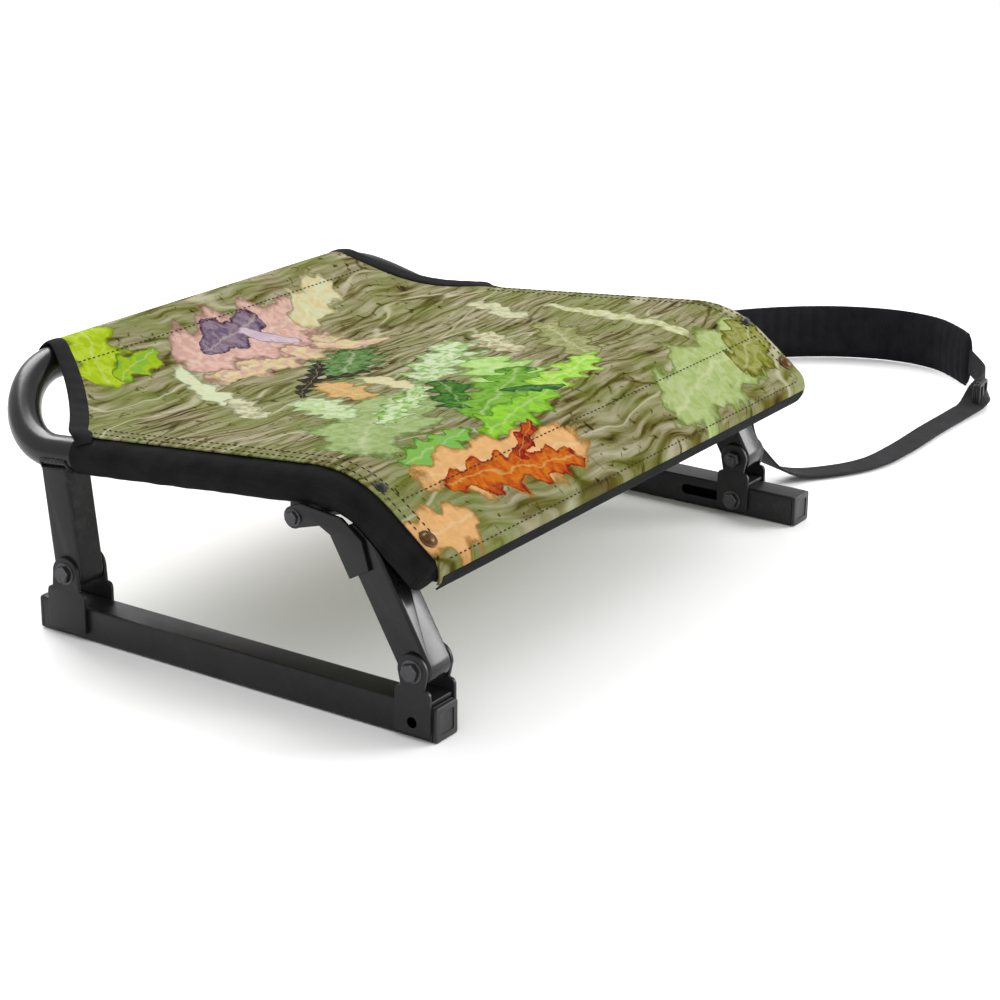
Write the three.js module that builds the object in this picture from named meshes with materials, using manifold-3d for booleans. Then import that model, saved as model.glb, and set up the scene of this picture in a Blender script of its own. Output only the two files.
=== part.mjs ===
// Low ground hunting seat: a camouflage sling on a bent tube frame, carried by two skid rails
// whose front legs can be re-set to level the seat, with a padded shoulder strap on one side.
// Millimetres. +X is the sitter's left, the sitter faces -Y, +Z is up. The origin is on the
// ground under the middle of the seat.
import * as THREE from "three";
import { mergeVertices } from "three/addons/utils/BufferGeometryUtils.js";
import Module from "manifold-3d";

const wasm = await Module();
wasm.setup();

// ---------------------------------------------------------------- driving dimensions
const TUBE = 25.4; // every tube, round or square, is one inch across
const TUBE_R = TUBE / 2;
const WALL = 1.6;
const HALF_SPAN = 259; // from the middle of the seat to the middle of each side tube and rail
const GAP = 0.3; // between touching pieces

const RAIL_FRONT = -214.5;
const RAIL_REAR = 138.5;

// The side tube, seen from the side, as [y, z]: a straight that rises towards the front, one bend
// down to the front corner, and a corner bend up to the rear crossbar.
const SIDE_REAR = [128, 136.6];
const KINK = [-140, 162.4];
const SIDE_FRONT = [-207.5, 109.9];
const KINK_REACH = 30; // length of straight that the front bend takes on each side
const REAR_BAR = [201.9, 174];
const REAR_BAR_HALF = 180; // where the corner bends meet the rear crossbar
const FRONT_BAR = [-197.7, 117.6];

// The levelling linkage, seen from the side, as [y, z]. The right side is -1 and the left side 1,
// whose front leg stands further back.
const REAR_PIVOT = [112, 50];
const FRONT_PIVOT = new Map([[-1, [-200, 50]], [1, [-160, 50]]]);
const TOP_PIVOT = new Map([[-1, [-102, 138.5]], [1, [-62, 134.7]]]);
const FRONT_LEG_LEAN = THREE.MathUtils.degToRad(30);
const REAR_LEG_LEAN = THREE.MathUtils.degToRad(6.6);
const BRACKET_TRAVEL = 46; // how far back the front bracket can be re-set along the rail
const LINK_PLAY = 2; // room round the front pivot bolt in the foot of the front leg

const PLATE = 3; // thickness of the bracket and arm plates
const PLATE_IN = TUBE_R + GAP; // from the middle of the tube to a plate's inner face
const PLATE_OUT = PLATE_IN + PLATE;
const BOLT_R = 4; // shanks of the foot pivots and the clamp screws
const PIN_R = 3; // shanks of the top pivots
const CLAMP_Z = 13; // height of the clamp screw in the rail

const SLEEVE_IN = TUBE_R + GAP;
const SLEEVE_OUT = 14.2;
const SLEEVE_REAR_Y = 104;
const CLOTH_IN = SLEEVE_OUT + 0.6; // the sling, measured from the middle of the tubes
const CLOTH_OUT = CLOTH_IN + 1.2;
const CLOTH_HALF = 262;
const SCOOP_REAR_X = 177; // where each scooped rear corner of the sling starts
const SCOOP_SIDE_Y = 104;

const WEBBING_W = 25;
const WEBBING_T = 2.4;
const PAD_W = 54;
const PAD_T = 12;

// The shoulder strap's middle line, from the front anchor to the rear one.
const STRAP_FRONT = [
  [279.4, -140.5, 127],
  [280, -143, 112],
  [283.5, -143, 90],
  [290, -141, 66],
  [302, -141, 48],
  [318, -144, 32],
  [338, -151, 15],
  [362, -163, 7.2],
  [398, -187, 5.2],
  [432, -201, 5.2],
  [481, -205, 5.2],
  [552, -204, 5.2],
  [615, -206, 6.2],
  [634, -208, 8.2],
];
const STRAP_BUCKLE = [650, -209, 14];
const STRAP_TURN = [
  [666, -207, 17],
  [684, -198, 21],
  [697, -184, 25],
];
const STRAP_PAD = [
  [705, -174, 27.6],
  [727, -150, 27.6],
  [745, -123, 27.6],
  [751, -92, 27.6],
  [747, -60, 27.6],
  [730, -20, 27.6],
  [702, 18, 27.6],
  [665, 52, 27.6],
  [618, 82, 27.6],
];
const STRAP_REAR = [
  [606, 88, 26],
  [580, 98, 18],
  [545, 108, 7],
  [500, 117, 3],
  [440, 124, 3],
  [380, 127, 3],
  [335, 127, 14],
  [305, 125, 42],
  [290, 123, 72],
  [282, 121, 95],
  [279.4, 120, 109],
];

// ---------------------------------------------------------------- materials
function finish(color, roughness, metalness) {
  return new THREE.MeshStandardMaterial({ color, roughness, metalness });
}
const gloss = finish(0x0d0d0e, 0.22, 0.4);
const satin = finish(0x2b2b2d, 0.5, 0.3);
const zinc = finish(0x8f9294, 0.35, 0.9);
const plastic = finish(0x3a3a3b, 0.55, 0);
const camo = finish(0x7d7a5a, 0.95, 0);
const blackCloth = finish(0x19191b, 0.9, 0);
const webbing = finish(0x232325, 0.85, 0);
const padding = finish(0x1f1f22, 0.95, 0);

// ---------------------------------------------------------------- helpers
const seat = new THREE.Group();

function add(name, geometry, material) {
  const mesh = new THREE.Mesh(geometry, material);
  mesh.name = name;
  seat.add(mesh);
}

function solidOf(geometry) {
  const bare = geometry.clone();
  bare.deleteAttribute("normal");
  bare.deleteAttribute("uv");
  const merged = mergeVertices(bare, 1e-3);
  const vertProperties = merged.attributes.position.array;
  const triVerts = new Uint32Array(merged.index.array);
  return new wasm.Manifold(new wasm.Mesh({ numProp: 3, vertProperties, triVerts }));
}

function geometryOf(solid) {
  const mesh = solid.getMesh();
  const geometry = new THREE.BufferGeometry();
  geometry.setAttribute("position", new THREE.BufferAttribute(mesh.vertProperties, 3));
  geometry.setIndex(new THREE.BufferAttribute(mesh.triVerts, 1));
  return geometry;
}

function cut(geometry, ...cutters) {
  return geometryOf(cutters.reduce((rest, c) => rest.subtract(solidOf(c)), solidOf(geometry)));
}

function box(x0, x1, y0, y1, z0, z1) {
  const geometry = new THREE.BoxGeometry(x1 - x0, y1 - y0, z1 - z0);
  return geometry.translate((x0 + x1) / 2, (y0 + y1) / 2, (z0 + z1) / 2);
}

// A box whose sides are measured outwards from the middle of one side's tube.
function sideBox(side, u0, u1, y0, y1, z0, z1) {
  const xs = [side * (HALF_SPAN + u0), side * (HALF_SPAN + u1)];
  return box(Math.min(...xs), Math.max(...xs), y0, y1, z0, z1);
}

// A shape drawn in [y, z], made solid between two x.
function slab(shape, x0, x1, curveSegments = 8) {
  const low = Math.min(x0, x1);
  const geometry = new THREE.ExtrudeGeometry(shape, {
    depth: Math.abs(x1 - x0),
    bevelEnabled: false,
    curveSegments,
  });
  const upright = new THREE.Matrix4().makeBasis(
    new THREE.Vector3(0, 1, 0),
    new THREE.Vector3(0, 0, 1),
    new THREE.Vector3(1, 0, 0),
  );
  return geometry.applyMatrix4(upright).translate(low, 0, 0);
}

function sideSlab(side, shape, u0, u1, curveSegments) {
  return slab(shape, side * (HALF_SPAN + u0), side * (HALF_SPAN + u1), curveSegments);
}

function outline(points) {
  return new THREE.Shape(points.map(([y, z]) => new THREE.Vector2(y, z)));
}

function hole([y, z], r) {
  const path = new THREE.Path();
  path.absarc(y, z, r, 0, 2 * Math.PI);
  return path;
}

// A round bar along X between two distances from the middle of one side's tube.
function crossBar(side, [y, z], r, u0, u1, sides = 16) {
  const geometry = new THREE.CylinderGeometry(r, r, Math.abs(u1 - u0), sides);
  geometry.rotateZ(Math.PI / 2);
  return geometry.translate(side * (HALF_SPAN + (u0 + u1) / 2), y, z);
}

function regularPolygon(r, sides) {
  const corners = Array.from({ length: sides }, (_, i) => {
    const angle = (2 * Math.PI * i) / sides;
    return new THREE.Vector2(r * Math.cos(angle), r * Math.sin(angle));
  });
  return new THREE.Shape(corners);
}

function ring(outerR, innerR, sides) {
  const shape = regularPolygon(outerR, sides);
  if (innerR) shape.holes.push(new THREE.Path(regularPolygon(innerR, sides).getPoints().reverse()));
  return shape;
}

function sweep(shape, path, steps) {
  return new THREE.ExtrudeGeometry(shape, { steps, bevelEnabled: false, extrudePath: path });
}

function along(path, from, to) {
  const t = (to - from) / 100;
  return Array.from({ length: 101 }, (_, i) => path.getPointAt(Math.min(1, from + t * i)));
}

// ---------------------------------------------------------------- the side tubes' middle lines
const sidePoint = (side, [y, z]) => new THREE.Vector3(side * HALF_SPAN, y, z);

function towards(from, to, distance) {
  return from.clone().add(to.clone().sub(from).setLength(distance));
}

function sidePath(side) {
  const rear = sidePoint(side, SIDE_REAR);
  const kink = sidePoint(side, KINK);
  const front = sidePoint(side, SIDE_FRONT);
  const path = new THREE.CurvePath();
  const bendStart = towards(kink, rear, KINK_REACH);
  const bendEnd = towards(kink, front, KINK_REACH);
  path.add(new THREE.LineCurve3(front, bendEnd));
  path.add(new THREE.QuadraticBezierCurve3(bendEnd, kink, bendStart));
  path.add(new THREE.LineCurve3(bendStart, rear));
  const bar = new THREE.Vector3(side * REAR_BAR_HALF, ...REAR_BAR);
  const lead = towards(rear, kink, -44);
  const arrive = bar.clone().add(new THREE.Vector3(side * 46, 0, 0));
  path.add(new THREE.CubicBezierCurve3(rear, lead, arrive, bar));
  return path;
}

// One stretch of that line as a smooth curve, between two shares of its length.
function stretch(path, from, to) {
  return new THREE.CatmullRomCurve3(along(path, from, to), false, "centripetal");
}

// The share of the line's length at which it reaches y.
function shareAt(path, y) {
  let low = 0;
  let high = 0.8;
  for (let i = 0; i < 40; i++) {
    const middle = (low + high) / 2;
    if (path.getPointAt(middle).y < y) low = middle;
    else high = middle;
  }
  return low;
}

// ---------------------------------------------------------------- seat frame
function sideTube(side) {
  const path = stretch(sidePath(side), 0, 1);
  return sweep(ring(TUBE_R, TUBE_R - WALL, 16), path, 40);
}

// The side tube as a solid bar, to cut what is fitted round it.
function sideSolid(side, r) {
  return sweep(ring(r, 0, 16), stretch(sidePath(side), 0, 1), 40);
}

function crossTube([y, z], half) {
  const geometry = new THREE.ExtrudeGeometry(ring(TUBE_R, TUBE_R - WALL, 16), {
    depth: 2 * half,
    bevelEnabled: false,
  });
  return geometry.rotateY(Math.PI / 2).translate(-half, y, z);
}

// A square tube from a pivot upwards, leaning back by an angle, with a round foot about the pivot.
function legTube(side, [y, z], lean, length, boreR) {
  const foot = new THREE.Shape();
  foot.moveTo(TUBE_R, length);
  foot.lineTo(-TUBE_R, length);
  foot.lineTo(-TUBE_R, 0);
  foot.absarc(0, 0, TUBE_R, Math.PI, 2 * Math.PI);
  foot.holes.push(hole([0, 0], boreR));
  const inner = outline([
    [WALL - TUBE_R, -TUBE],
    [TUBE_R - WALL, -TUBE],
    [TUBE_R - WALL, 2 * length],
    [WALL - TUBE_R, 2 * length],
  ]);
  const leg = cut(slab(foot, -TUBE_R, TUBE_R), slab(inner, WALL - TUBE_R, TUBE_R - WALL));
  return leg.rotateX(-lean).translate(side * HALF_SPAN, y, z);
}

function rearLeg(side) {
  const leg = legTube(side, REAR_PIVOT, REAR_LEG_LEAN, 80, BOLT_R + GAP);
  return cut(leg, sideSolid(side, TUBE_R + GAP));
}

function pivotLug(side) {
  const [y, z] = TOP_PIVOT.get(side);
  const shape = new THREE.Shape();
  shape.moveTo(y - 8, z + 15);
  shape.lineTo(y - 8, z);
  shape.absarc(y, z, 8, Math.PI, 2 * Math.PI);
  shape.lineTo(y + 8, z + 15);
  shape.holes.push(hole([y, z], PIN_R + GAP));
  return cut(sideSlab(side, shape, -9, 9), sideSolid(side, TUBE_R + GAP));
}

// ---------------------------------------------------------------- sling
function sideSleeve(side) {
  const path = sidePath(side);
  const cloth = stretch(path, 0.012, shareAt(path, SLEEVE_REAR_Y));
  const [y] = TOP_PIVOT.get(side);
  const lugSlot = sideBox(side, -9.6, 9.6, y - 8.6, y + 8.6, 120, 152);
  return cut(sweep(ring(SLEEVE_OUT, SLEEVE_IN, 16), cloth, 30), lugSlot);
}

// The sling seen from the side, offset from the middle of the tubes it lies on.
function slingLine(offset) {
  const side = sidePath(1);
  const points = [];
  for (let angle = 215; angle > 127; angle -= 12) {
    const turn = THREE.MathUtils.degToRad(angle);
    points.push([FRONT_BAR[0] + offset * Math.cos(turn), FRONT_BAR[1] + offset * Math.sin(turn)]);
  }
  const last = shareAt(side, 84);
  for (let i = 0; i <= 16; i++) {
    const share = 0.07 + ((last - 0.07) * i) / 16;
    const p = side.getPointAt(share);
    const t = side.getTangentAt(share);
    points.push([p.y - t.z * offset, p.z + t.y * offset]);
  }
  const [startY, startZ] = points.at(-1);
  const [barY, barZ] = REAR_BAR;
  const onBar = (angle) => {
    const turn = THREE.MathUtils.degToRad(angle);
    return [barY + offset * Math.cos(turn), barZ + offset * Math.sin(turn)];
  };
  const [landY, landZ] = onBar(118);
  const rise = new THREE.CubicBezierCurve(
    new THREE.Vector2(startY, startZ),
    new THREE.Vector2(startY + 44, startZ - 4.2),
    new THREE.Vector2(landY - 35.3, landZ - 18.8),
    new THREE.Vector2(landY, landZ),
  );
  rise.getPoints(8).slice(1).forEach((p) => points.push([p.x, p.y]));
  for (let angle = 106; angle > -40; angle -= 14) points.push(onBar(angle));
  return points;
}

// The room that the front end of a side tube and its sleeve take out of the wrap round the crossbar.
function tubeEnd(side) {
  const front = sidePoint(side, SIDE_FRONT);
  const middle = towards(front, sidePoint(side, KINK), 10);
  const lean = Math.atan2(SIDE_FRONT[1] - KINK[1], SIDE_FRONT[0] - KINK[0]);
  const room = new THREE.CylinderGeometry(CLOTH_IN - 0.05, CLOTH_IN - 0.05, 60, 24);
  return room.rotateX(lean).translate(middle.x, middle.y, middle.z);
}

function sling() {
  const band = outline([...slingLine(CLOTH_OUT), ...slingLine(CLOTH_IN).reverse()]);
  const cloth = slab(band, -CLOTH_HALF, CLOTH_HALF);
  const scoops = [-1, 1].map((side) => {
    const shape = new THREE.Shape();
    const far = CLOTH_HALF + 40;
    shape.moveTo(SCOOP_REAR_X, 260);
    shape.lineTo(SCOOP_REAR_X, 206);
    shape.quadraticCurveTo(204, 150, CLOTH_HALF + 1, SCOOP_SIDE_Y);
    shape.lineTo(far, SCOOP_SIDE_Y);
    shape.lineTo(far, 260);
    const cutter = new THREE.ExtrudeGeometry(shape, { depth: 300, bevelEnabled: false });
    return side < 0 ? cutter.rotateY(Math.PI).translate(0, 0, 300) : cutter;
  });
  return cut(cloth, ...scoops, tubeEnd(-1), tubeEnd(1));
}

const screwSpots = { rear: -160, front: -197.7 };

// A domed screw with its washer, standing on the sling over the middle of the side tube.
function slingScrew(side, y) {
  const path = sidePath(1);
  const share = shareAt(path, y);
  const p = path.getPointAt(share);
  const t = path.getTangentAt(share);
  const profile = [
    [0, 0],
    [5.5, 0],
    [5.5, 0.8],
    [3.6, 0.9],
    [3.2, 1.9],
    [1.8, 2.7],
    [0, 2.9],
  ].map(([r, h]) => new THREE.Vector2(r, h));
  const lean = Math.atan2(t.z, t.y);
  const screw = new THREE.LatheGeometry(profile, 14).rotateX(Math.PI / 2).rotateX(lean);
  const reach = CLOTH_OUT + GAP;
  return screw.translate(side * (HALF_SPAN - 5), p.y - t.z * reach, p.z + t.y * reach);
}

// ---------------------------------------------------------------- rails and brackets
function rail(side) {
  const outer = sideBox(side, -TUBE_R, TUBE_R, RAIL_FRONT, RAIL_REAR, 0, TUBE);
  const inner = TUBE_R - WALL;
  const bore = sideBox(side, -inner, inner, RAIL_FRONT - 9, RAIL_REAR + 9, WALL, TUBE - WALL);
  const slotR = BOLT_R + GAP;
  const [front] = FRONT_PIVOT.get(side);
  const shape = new THREE.Shape();
  shape.absarc(front + BRACKET_TRAVEL, CLAMP_Z, slotR, -Math.PI / 2, Math.PI / 2);
  shape.absarc(front, CLAMP_Z, slotR, Math.PI / 2, 1.5 * Math.PI);
  return cut(outer, bore, sideSlab(side, shape, -TUBE, -TUBE_R + WALL + 1));
}

// A plug pressed into the end of a rail, with a face as large as the tube.
function railCap(side, end) {
  const inner = TUBE_R - WALL - GAP;
  const lip = sideBox(side, -TUBE_R, TUBE_R, 0, 3, 0, TUBE);
  const plug = sideBox(side, -inner, inner, -4.5, 1, WALL + GAP, TUBE - WALL - GAP);
  const cap = geometryOf(solidOf(lip).add(solidOf(plug)));
  if (end === "rear") return cap.translate(0, RAIL_REAR + GAP, 0);
  return cap.rotateZ(Math.PI).translate(2 * side * HALF_SPAN, RAIL_FRONT - GAP, 0);
}

// A bracket plate that stands against the rail's side and rises to a round ear about the pivot.
function bracketShape([y, z], halfWidth, boreR) {
  const earR = 12;
  const shape = new THREE.Shape();
  shape.moveTo(y + halfWidth, 5);
  shape.lineTo(y + halfWidth, z - 12);
  shape.lineTo(y + earR, z);
  shape.absarc(y, z, earR, 0, Math.PI);
  shape.lineTo(y - halfWidth, z - 12);
  shape.lineTo(y - halfWidth, 5);
  shape.holes.push(hole([y, z], boreR));
  return shape;
}

function bracketPlate(side, pivot, halfWidth, facing, clampHole) {
  const shape = bracketShape(pivot, halfWidth, BOLT_R + GAP);
  if (clampHole) shape.holes.push(hole([pivot[0], CLAMP_Z], BOLT_R + GAP));
  return sideSlab(side, shape, facing * PLATE_IN, facing * PLATE_OUT);
}

// The plate that joins a front bracket's two sides, just above the rail.
function bracketBridge(side) {
  const [y] = FRONT_PIVOT.get(side);
  return sideBox(side, -TUBE_R, TUBE_R, y - 13, y + 13, TUBE + 0.6, TUBE + 0.6 + PLATE);
}

// A bolt along X whose head is outside the seat (facing 1) or inside it (facing -1).
function bolt(side, pivot, r, reachOut, reachIn, facing) {
  const headT = 1.15 * r;
  const shankFrom = -facing * reachIn;
  const head = crossBar(side, pivot, 1.75 * r, facing * reachOut, facing * (reachOut + headT), 6);
  const shank = crossBar(side, pivot, r, shankFrom, facing * (reachOut + 1));
  return geometryOf(solidOf(head).add(solidOf(shank)));
}

function nut(side, pivot, r, from, to) {
  return cut(crossBar(side, pivot, 1.75 * r, from, to, 6), crossBar(side, pivot, r + GAP, from - 9, to + 9));
}

// ---------------------------------------------------------------- front legs
function frontLeg(side) {
  const leg = legTube(side, FRONT_PIVOT.get(side), FRONT_LEG_LEAN, 112, BOLT_R + LINK_PLAY);
  return cut(leg, sideSolid(side, SLEEVE_OUT + 1.4));
}

// The arm plate welded to the leg's side, which reaches back under the side tube to the top pivot.
function legArm(side, facing) {
  const [y, z] = TOP_PIVOT.get(side);
  const shape = new THREE.Shape();
  shape.moveTo(y - 6, z + 11);
  shape.lineTo(y + 1, z + 8);
  shape.absarc(y, z, 8, Math.PI / 2, -Math.PI / 2 - 0.6, true);
  shape.lineTo(y - 22, z - 1.5);
  shape.lineTo(y - 31, z - 6);
  shape.lineTo(y - 47, z - 34);
  shape.lineTo(y - 63, z - 25);
  shape.lineTo(y - 57, z - 5);
  shape.lineTo(y - 40, z + 7.5);
  shape.holes.push(hole([y, z], PIN_R + GAP));
  return sideSlab(side, shape, facing * PLATE_IN, facing * PLATE_OUT);
}

// ---------------------------------------------------------------- shoulder strap
// A steel plate on the outside of the left side tube, with a slot for the webbing.
function strapAnchor(y, z) {
  const shape = new THREE.Shape();
  shape.moveTo(y - 16, z - 30);
  shape.lineTo(y + 16, z - 30);
  shape.lineTo(y + 16, z - 14);
  shape.lineTo(y + 9, z + 8);
  shape.lineTo(y - 9, z + 8);
  shape.lineTo(y - 16, z - 14);
  const slot = new THREE.Path();
  slot.moveTo(y - 13, z - 26);
  slot.lineTo(y - 13, z - 20);
  slot.lineTo(y + 13, z - 20);
  slot.lineTo(y + 13, z - 26);
  shape.holes.push(slot);
  const reach = SLEEVE_OUT + GAP;
  return sideSlab(1, shape, reach, reach + 2.5);
}

function strapCurve(points) {
  return new THREE.CatmullRomCurve3(
    points.map((p) => new THREE.Vector3(...p)),
    false,
    "centripetal",
  );
}

// A flat strap's section with eased corners: lying flat, or standing on its edge.
function flatSection(width, thickness, onEdge = false) {
  const w = width / 2;
  const t = thickness / 2;
  const corners = [
    [t, -w + t],
    [t, w - t],
    [t / 2, w],
    [-t / 2, w],
    [-t, w - t],
    [-t, -w + t],
    [-t / 2, -w],
    [t / 2, -w],
  ];
  return outline(onEdge ? corners.map(([a, b]) => [b, a]) : corners);
}

function strapPad() {
  return sweep(flatSection(PAD_W, PAD_T, true), strapCurve(STRAP_PAD), 22);
}

function strapBuckle() {
  const [x, y, z] = STRAP_BUCKLE;
  return new THREE.BoxGeometry(28, 9, 26).translate(x, y, z);
}

// ---------------------------------------------------------------- assembly
for (const [name, side] of [["right", -1], ["left", 1]]) {
  const frontPivot = FRONT_PIVOT.get(side);
  const topPivot = TOP_PIVOT.get(side);
  add(`${name}_side_tube`, sideTube(side), gloss);
  add(`${name}_side_sleeve`, sideSleeve(side), blackCloth);
  add(`${name}_rear_leg`, rearLeg(side), satin);
  add(`${name}_pivot_lug`, pivotLug(side), satin);
  for (const [spot, y] of Object.entries(screwSpots)) {
    add(`${name}_${spot}_sling_screw`, slingScrew(side, y), satin);
  }

  add(`${name}_rail`, rail(side), satin);
  add(`${name}_rail_front_cap`, railCap(side, "front"), plastic);
  add(`${name}_rail_rear_cap`, railCap(side, "rear"), plastic);
  add(`${name}_rear_bracket_outer`, bracketPlate(side, REAR_PIVOT, 18, 1), satin);
  add(`${name}_rear_bracket_inner`, bracketPlate(side, REAR_PIVOT, 18, -1), satin);
  add(`${name}_front_bracket_outer`, bracketPlate(side, frontPivot, 14.5, 1), satin);
  add(`${name}_front_bracket_inner`, bracketPlate(side, frontPivot, 14.5, -1, true), satin);
  add(`${name}_front_bracket_bridge`, bracketBridge(side), satin);

  const face = PLATE_OUT + GAP;
  for (const [place, pivot] of [["rear", REAR_PIVOT], ["front", frontPivot]]) {
    add(`${name}_${place}_pivot_bolt`, bolt(side, pivot, BOLT_R, face, face + 6, 1), zinc);
    add(`${name}_${place}_pivot_nut`, nut(side, pivot, BOLT_R, -face - 5.5, -face), zinc);
  }
  const clamp = [frontPivot[0], CLAMP_Z];
  add(`${name}_clamp_screw`, bolt(side, clamp, BOLT_R, face, -3, -1), zinc);
  add(`${name}_clamp_nut`, nut(side, clamp, BOLT_R, -TUBE_R + WALL + GAP, -4.6), zinc);

  add(`${name}_front_leg`, frontLeg(side), gloss);
  add(`${name}_leg_arm_outer`, legArm(side, 1), gloss);
  add(`${name}_leg_arm_inner`, legArm(side, -1), gloss);
  add(`${name}_top_pivot_bolt`, bolt(side, topPivot, PIN_R, face, face + 5, 1), zinc);
  add(`${name}_top_pivot_nut`, nut(side, topPivot, PIN_R, -face - 4.5, -face), zinc);
}

add("front_crossbar", crossTube(FRONT_BAR, HALF_SPAN - SLEEVE_OUT - GAP), gloss);
add("rear_crossbar", crossTube(REAR_BAR, REAR_BAR_HALF - 1), gloss);
add("sling", sling(), camo);

add("strap_front_anchor", strapAnchor(-143, 156), satin);
add("strap_rear_anchor", strapAnchor(120, 138), satin);
const web = flatSection(WEBBING_W, WEBBING_T);
add("strap_front_webbing", sweep(web, strapCurve(STRAP_FRONT), 46), webbing);
add("strap_turn_webbing", sweep(web, strapCurve(STRAP_TURN), 6), webbing);
add("strap_rear_webbing", sweep(web, strapCurve(STRAP_REAR), 36), webbing);
add("strap_pad", strapPad(), padding);
add("strap_buckle", strapBuckle(), plastic);

export default seat;
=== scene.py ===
import math

import bmesh
import bpy
import numpy as np
from mathutils import Matrix, Vector, noise


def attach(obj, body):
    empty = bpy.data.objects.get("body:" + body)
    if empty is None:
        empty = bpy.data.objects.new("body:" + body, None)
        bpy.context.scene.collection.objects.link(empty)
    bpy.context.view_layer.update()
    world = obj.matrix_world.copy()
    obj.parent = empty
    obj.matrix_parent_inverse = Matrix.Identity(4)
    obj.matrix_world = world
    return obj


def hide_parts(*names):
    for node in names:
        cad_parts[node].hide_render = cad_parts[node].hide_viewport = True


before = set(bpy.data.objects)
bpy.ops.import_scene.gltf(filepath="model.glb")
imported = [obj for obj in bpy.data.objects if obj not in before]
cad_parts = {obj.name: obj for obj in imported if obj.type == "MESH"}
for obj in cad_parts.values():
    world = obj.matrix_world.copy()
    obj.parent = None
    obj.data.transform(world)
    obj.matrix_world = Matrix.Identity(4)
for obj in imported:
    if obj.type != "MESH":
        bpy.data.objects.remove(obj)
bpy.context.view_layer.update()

MM = 0.001

# ---- dimensions, in millimetres
# The sitter faces -Y, and +X is the sitter's left. A pair of numbers is (y, z).
SIGN = {"right": -1, "left": 1}
TUBE_R = 12.7  # the round tubes' radius, and half the width of the square ones
WALL = 1.6
HALF_SPAN = 259.0  # from the middle of the seat to each side tube, leg and rail
SIDE_REAR = (128.0, 136.6)
KINK = (-140.0, 162.4)
SIDE_FRONT = (-207.5, 109.9)
KINK_REACH = 30.0
REAR_BAR = (201.9, 174.0)
REAR_BAR_HALF = 180.0
FRONT_BAR = (-197.7, 117.6)
FRONT_BAR_HALF = 247.0
REAR_PIVOT = (112.0, 50.0)
FRONT_PIVOT = {"right": (-200.0, 50.0), "left": (-160.0, 50.0)}
TOP_PIVOT = {"right": (-102.0, 138.5), "left": (-62.0, 134.7)}
PIVOT_R, TOP_PIVOT_R = 4.0, 3.0  # the bolts
HOLE_R = 4.2
RAIL_FRONT, RAIL_REAR = -214.5, 138.5
PLATE_IN, PLATE_OUT = 13.0, 16.0  # a bracket plate's faces, from the middle of its rail
CLAMP_Z = 13.0
SLOT_LENGTH, SLOT_R = 46.0, 4.3  # the slot that the clamp screw slides in
CLOTH_R = 15.2  # the sling's underside, from the middle of the tubes it lies on
CLOTH_HALF = 262.0
SCOOP = ((177.0, 206.0), (204.0, 150.0), (263.0, 104.0))  # the scooped edge, as (x, y)
WEBBING_WIDTH = 25.0

# The shoulder strap's route from the front anchor to the rear one, as (x, y, z).
STRAP_FRONT = [
    (279.4, -140.5, 127), (280, -143, 112), (283.5, -143, 90), (290, -141, 66), (302, -141, 48),
    (318, -144, 32), (338, -151, 15), (362, -163, 5), (398, -187, 3), (432, -201, 3),
    (481, -205, 3), (552, -204, 3), (615, -206, 4), (634, -208, 6),
]
STRAP_BUCKLE = [(650, -209, 14)]
STRAP_TURN = [(666, -207, 17), (684, -198, 21), (697, -184, 25)]
STRAP_PAD = [
    (705, -174, 27.6), (727, -150, 27.6), (745, -123, 27.6), (751, -92, 27.6), (747, -60, 27.6),
    (730, -20, 27.6), (702, 18, 27.6), (665, 52, 27.6), (618, 82, 27.6),
]
STRAP_REAR = [
    (606, 88, 26), (580, 98, 18), (545, 108, 7), (500, 117, 3), (440, 124, 3), (380, 127, 3),
    (335, 127, 14), (305, 125, 42), (290, 123, 72), (282, 121, 95), (279.4, 120, 109),
]


# ---- numbers and curves
def clamp(v):
    return min(1.0, max(0.0, v))


def ease(v):
    return v * v * (3 - 2 * v)


def unit(v):
    return v / np.linalg.norm(v)


def catmull(points, per=12):
    """A centripetal Catmull-Rom curve through the points, evenly sampled within each span."""
    p = [np.array(q, float) for q in points]
    p = [2 * p[0] - p[1]] + p + [2 * p[-1] - p[-2]]
    out = []
    for i in range(1, len(p) - 2):
        p0, p1, p2, p3 = p[i - 1 : i + 3]
        gaps = ((p0, p1), (p1, p2), (p2, p3))
        d0, d1, d2 = (max(np.linalg.norm(b - a), 1e-6) ** 0.5 for a, b in gaps)
        m1 = ((p1 - p0) / d0 - (p2 - p0) / (d0 + d1) + (p2 - p1) / d1) * d1
        m2 = ((p2 - p1) / d1 - (p3 - p1) / (d1 + d2) + (p3 - p2) / d2) * d1
        for k in range(per):
            t = k / per
            h = (2 * t**3 - 3 * t**2 + 1, t**3 - 2 * t**2 + t, -2 * t**3 + 3 * t**2, t**3 - t**2)
            out.append(h[0] * p1 + h[1] * m1 + h[2] * p2 + h[3] * m2)
    out.append(p[-2])
    return np.array(out)


def bezier(points, count):
    """A Bezier curve of any degree."""
    n = len(points) - 1
    t = np.linspace(0, 1, count)[:, None]
    return sum(
        math.comb(n, k) * (1 - t) ** (n - k) * t**k * np.array(q, float)
        for k, q in enumerate(points)
    )


def distances(path):
    """How far along the path each of its points is."""
    return np.r_[0, np.cumsum(np.linalg.norm(np.diff(path, axis=0), axis=1))]


def read_at(at, reach, values):
    """The values at some distances along a path, from those at its points."""
    return np.stack([np.interp(at, reach, values[:, k]) for k in range(values.shape[1])], 1)


def resample(path, step):
    """The same line with points the same distance apart, about step."""
    path = np.asarray(path, float)
    reach = distances(path)
    at = np.linspace(0, reach[-1], max(2, int(round(reach[-1] / step)) + 1))
    return read_at(at, reach, path)


def tangents(path):
    t = np.gradient(path, axis=0)
    return t / np.linalg.norm(t, axis=1)[:, None]


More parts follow.
